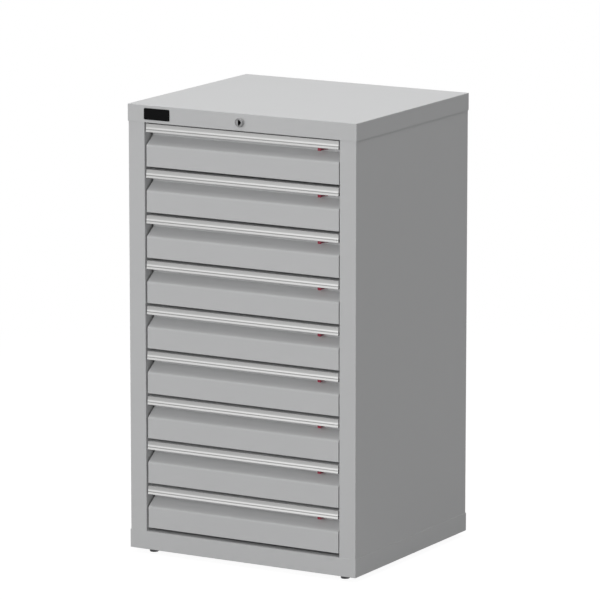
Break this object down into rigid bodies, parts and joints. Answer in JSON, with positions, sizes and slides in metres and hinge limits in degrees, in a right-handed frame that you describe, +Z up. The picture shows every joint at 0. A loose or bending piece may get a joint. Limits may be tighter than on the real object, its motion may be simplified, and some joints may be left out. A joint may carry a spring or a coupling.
{
  "type": "tool cabinet",
  "caption": "Free-standing steel tool cabinet with a column of full-width drawers on roller carriages, aluminium handles, finger recesses, sliding catches and one central lock.",
  "frame": {"origin": "on the floor, under the middle of the cap and the base", "axes": "+Z up; -Y out of the front, the way the drawers open; +X to the right seen from the front"},
  "size_m": [0.566, 0.511, 0.994],
  "materials": {
    "painted_steel": "light grey powder coat, satin",
    "handle_aluminium": "satin anodised extrusion",
    "zinc_steel": "bright zinc plated",
    "slide_steel": "bright zinc plated bars and ball-bearing rollers",
    "lock_chrome": "satin nickel-chrome plate",
    "red_plastic": "moulded, semi-gloss",
    "black_plastic": "bare plate, satin black",
    "foot_plastic": "moulded, dark grey"
  },
  "bodies": {
    "cabinet": {"top_cap": "painted_steel", "base": "painted_steel", "left_side": "painted_steel", "right_side": "painted_steel", "back_panel": "painted_steel", "rail_uprights": "zinc_steel", "left_rails": "zinc_steel", "right_rails": "zinc_steel", "bar_guides": "zinc_steel", "rod_bearing": "zinc_steel", "feet": "foot_plastic", "foot_nuts": "zinc_steel", "name_plate": "black_plastic", "lock_body": "lock_chrome", "lock_nut": "zinc_steel"},
    "key_plug": {"lock_plug": "lock_chrome", "lock_rod": "zinc_steel", "lock_crank": "zinc_steel"},
    "locking_bar": {"lock_bar": "zinc_steel", "lock_hooks": "zinc_steel"},
    "drawer_1": {"drawer_1": "painted_steel", "drawer_1_handle": "handle_aluminium"},
    "catch_1": {"drawer_1_catch": "red_plastic"},
    "carriage_1": {"drawer_1_carriage": "slide_steel"},
    "drawer_2": {"drawer_2": "painted_steel", "drawer_2_handle": "handle_aluminium"},
    "catch_2": {"drawer_2_catch": "red_plastic"},
    "carriage_2": {"drawer_2_carriage": "slide_steel"},
    "drawer_3": {"drawer_3": "painted_steel", "drawer_3_handle": "handle_aluminium"},
    "catch_3": {"drawer_3_catch": "red_plastic"},
    "carriage_3": {"drawer_3_carriage": "slide_steel"},
    "drawer_4": {"drawer_4": "painted_steel", "drawer_4_handle": "handle_aluminium"},
    "catch_4": {"drawer_4_catch": "red_plastic"},
    "carriage_4": {"drawer_4_carriage": "slide_steel"},
    "drawer_5": {"drawer_5": "painted_steel", "drawer_5_handle": "handle_aluminium"},
    "catch_5": {"drawer_5_catch": "red_plastic"},
    "carriage_5": {"drawer_5_carriage": "slide_steel"},
    "drawer_6": {"drawer_6": "painted_steel", "drawer_6_handle": "handle_aluminium"},
    "catch_6": {"drawer_6_catch": "red_plastic"},
    "carriage_6": {"drawer_6_carriage": "slide_steel"},
    "drawer_7": {"drawer_7": "painted_steel", "drawer_7_handle": "handle_aluminium"},
    "catch_7": {"drawer_7_catch": "red_plastic"},
    "carriage_7": {"drawer_7_carriage": "slide_steel"},
    "drawer_8": {"drawer_8": "painted_steel", "drawer_8_handle": "handle_aluminium"},
    "catch_8": {"drawer_8_catch": "red_plastic"},
    "carriage_8": {"drawer_8_carriage": "slide_steel"},
    "drawer_9": {"drawer_9": "painted_steel", "drawer_9_handle": "handle_aluminium"},
    "catch_9": {"drawer_9_catch": "red_plastic"},
    "carriage_9": {"drawer_9_carriage": "slide_steel"}
  },
  "joints": [
    {"name": "lock_turn", "type": "hinge", "parent": "cabinet", "child": "key_plug", "pos_m": [0, 0, 0.97495], "axis": [0, 1, 0], "range_deg": [0, 90]},
    {"name": "locking_bar_slide", "type": "slide", "parent": "cabinet", "child": "locking_bar", "axis": [0, 0, -1], "range_m": [0, 0.01414]},
    {"name": "drawer_1_slide", "type": "slide", "parent": "cabinet", "child": "drawer_1", "axis": [0, -1, 0], "range_m": [0, 0.42]},
    {"name": "carriage_1_slide", "type": "slide", "parent": "cabinet", "child": "carriage_1", "axis": [0, -1, 0], "range_m": [0, 0.21]},
    {"name": "catch_1_slide", "type": "slide", "parent": "drawer_1", "child": "catch_1", "axis": [1, 0, 0], "range_m": [0, 0.008]},
    {"name": "drawer_2_slide", "type": "slide", "parent": "cabinet", "child": "drawer_2", "axis": [0, -1, 0], "range_m": [0, 0.42]},
    {"name": "carriage_2_slide", "type": "slide", "parent": "cabinet", "child": "carriage_2", "axis": [0, -1, 0], "range_m": [0, 0.21]},
    {"name": "catch_2_slide", "type": "slide", "parent": "drawer_2", "child": "catch_2", "axis": [1, 0, 0], "range_m": [0, 0.008]},
    {"name": "drawer_3_slide", "type": "slide", "parent": "cabinet", "child": "drawer_3", "axis": [0, -1, 0], "range_m": [0, 0.42]},
    {"name": "carriage_3_slide", "type": "slide", "parent": "cabinet", "child": "carriage_3", "axis": [0, -1, 0], "range_m": [0, 0.21]},
    {"name": "catch_3_slide", "type": "slide", "parent": "drawer_3", "child": "catch_3", "axis": [1, 0, 0], "range_m": [0, 0.008]},
    {"name": "drawer_4_slide", "type": "slide", "parent": "cabinet", "child": "drawer_4", "axis": [0, -1, 0], "range_m": [0, 0.42]},
    {"name": "carriage_4_slide", "type": "slide", "parent": "cabinet", "child": "carriage_4", "axis": [0, -1, 0], "range_m": [0, 0.21]},
    {"name": "catch_4_slide", "type": "slide", "parent": "drawer_4", "child": "catch_4", "axis": [1, 0, 0], "range_m": [0, 0.008]},
    {"name": "drawer_5_slide", "type": "slide", "parent": "cabinet", "child": "drawer_5", "axis": [0, -1, 0], "range_m": [0, 0.42]},
    {"name": "carriage_5_slide", "type": "slide", "parent": "cabinet", "child": "carriage_5", "axis": [0, -1, 0], "range_m": [0, 0.21]},
    {"name": "catch_5_slide", "type": "slide", "parent": "drawer_5", "child": "catch_5", "axis": [1, 0, 0], "range_m": [0, 0.008]},
    {"name": "drawer_6_slide", "type": "slide", "parent": "cabinet", "child": "drawer_6", "axis": [0, -1, 0], "range_m": [0, 0.42]},
    {"name": "carriage_6_slide", "type": "slide", "parent": "cabinet", "child": "carriage_6", "axis": [0, -1, 0], "range_m": [0, 0.21]},
    {"name": "catch_6_slide", "type": "slide", "parent": "drawer_6", "child": "catch_6", "axis": [1, 0, 0], "range_m": [0, 0.008]},
    {"name": "drawer_7_slide", "type": "slide", "parent": "cabinet", "child": "drawer_7", "axis": [0, -1, 0], "range_m": [0, 0.42]},
    {"name": "carriage_7_slide", "type": "slide", "parent": "cabinet", "child": "carriage_7", "axis": [0, -1, 0], "range_m": [0, 0.21]},
    {"name": "catch_7_slide", "type": "slide", "parent": "drawer_7", "child": "catch_7", "axis": [1, 0, 0], "range_m": [0, 0.008]},
    {"name": "drawer_8_slide", "type": "slide", "parent": "cabinet", "child": "drawer_8", "axis": [0, -1, 0], "range_m": [0, 0.42]},
    {"name": "carriage_8_slide", "type": "slide", "parent": "cabinet", "child": "carriage_8", "axis": [0, -1, 0], "range_m": [0, 0.21]},
    {"name": "catch_8_slide", "type": "slide", "parent": "drawer_8", "child": "catch_8", "axis": [1, 0, 0], "range_m": [0, 0.008]},
    {"name": "drawer_9_slide", "type": "slide", "parent": "cabinet", "child": "drawer_9", "axis": [0, -1, 0], "range_m": [0, 0.42]},
    {"name": "carriage_9_slide", "type": "slide", "parent": "cabinet", "child": "carriage_9", "axis": [0, -1, 0], "range_m": [0, 0.21]},
    {"name": "catch_9_slide", "type": "slide", "parent": "drawer_9", "child": "catch_9", "axis": [1, 0, 0], "range_m": [0, 0.008]}
  ],
  "couplings": [
    {"joint": "lock_turn", "follows": "locking_bar_slide", "rad_per_m": 111.07},
    {"joint": "carriage_1_slide", "follows": "drawer_1_slide", "ratio": 0.5},
    {"joint": "carriage_2_slide", "follows": "drawer_2_slide", "ratio": 0.5},
    {"joint": "carriage_3_slide", "follows": "drawer_3_slide", "ratio": 0.5},
    {"joint": "carriage_4_slide", "follows": "drawer_4_slide", "ratio": 0.5},
    {"joint": "carriage_5_slide", "follows": "drawer_5_slide", "ratio": 0.5},
    {"joint": "carriage_6_slide", "follows": "drawer_6_slide", "ratio": 0.5},
    {"joint": "carriage_7_slide", "follows": "drawer_7_slide", "ratio": 0.5},
    {"joint": "carriage_8_slide", "follows": "drawer_8_slide", "ratio": 0.5},
    {"joint": "carriage_9_slide", "follows": "drawer_9_slide", "ratio": 0.5}
  ]
}
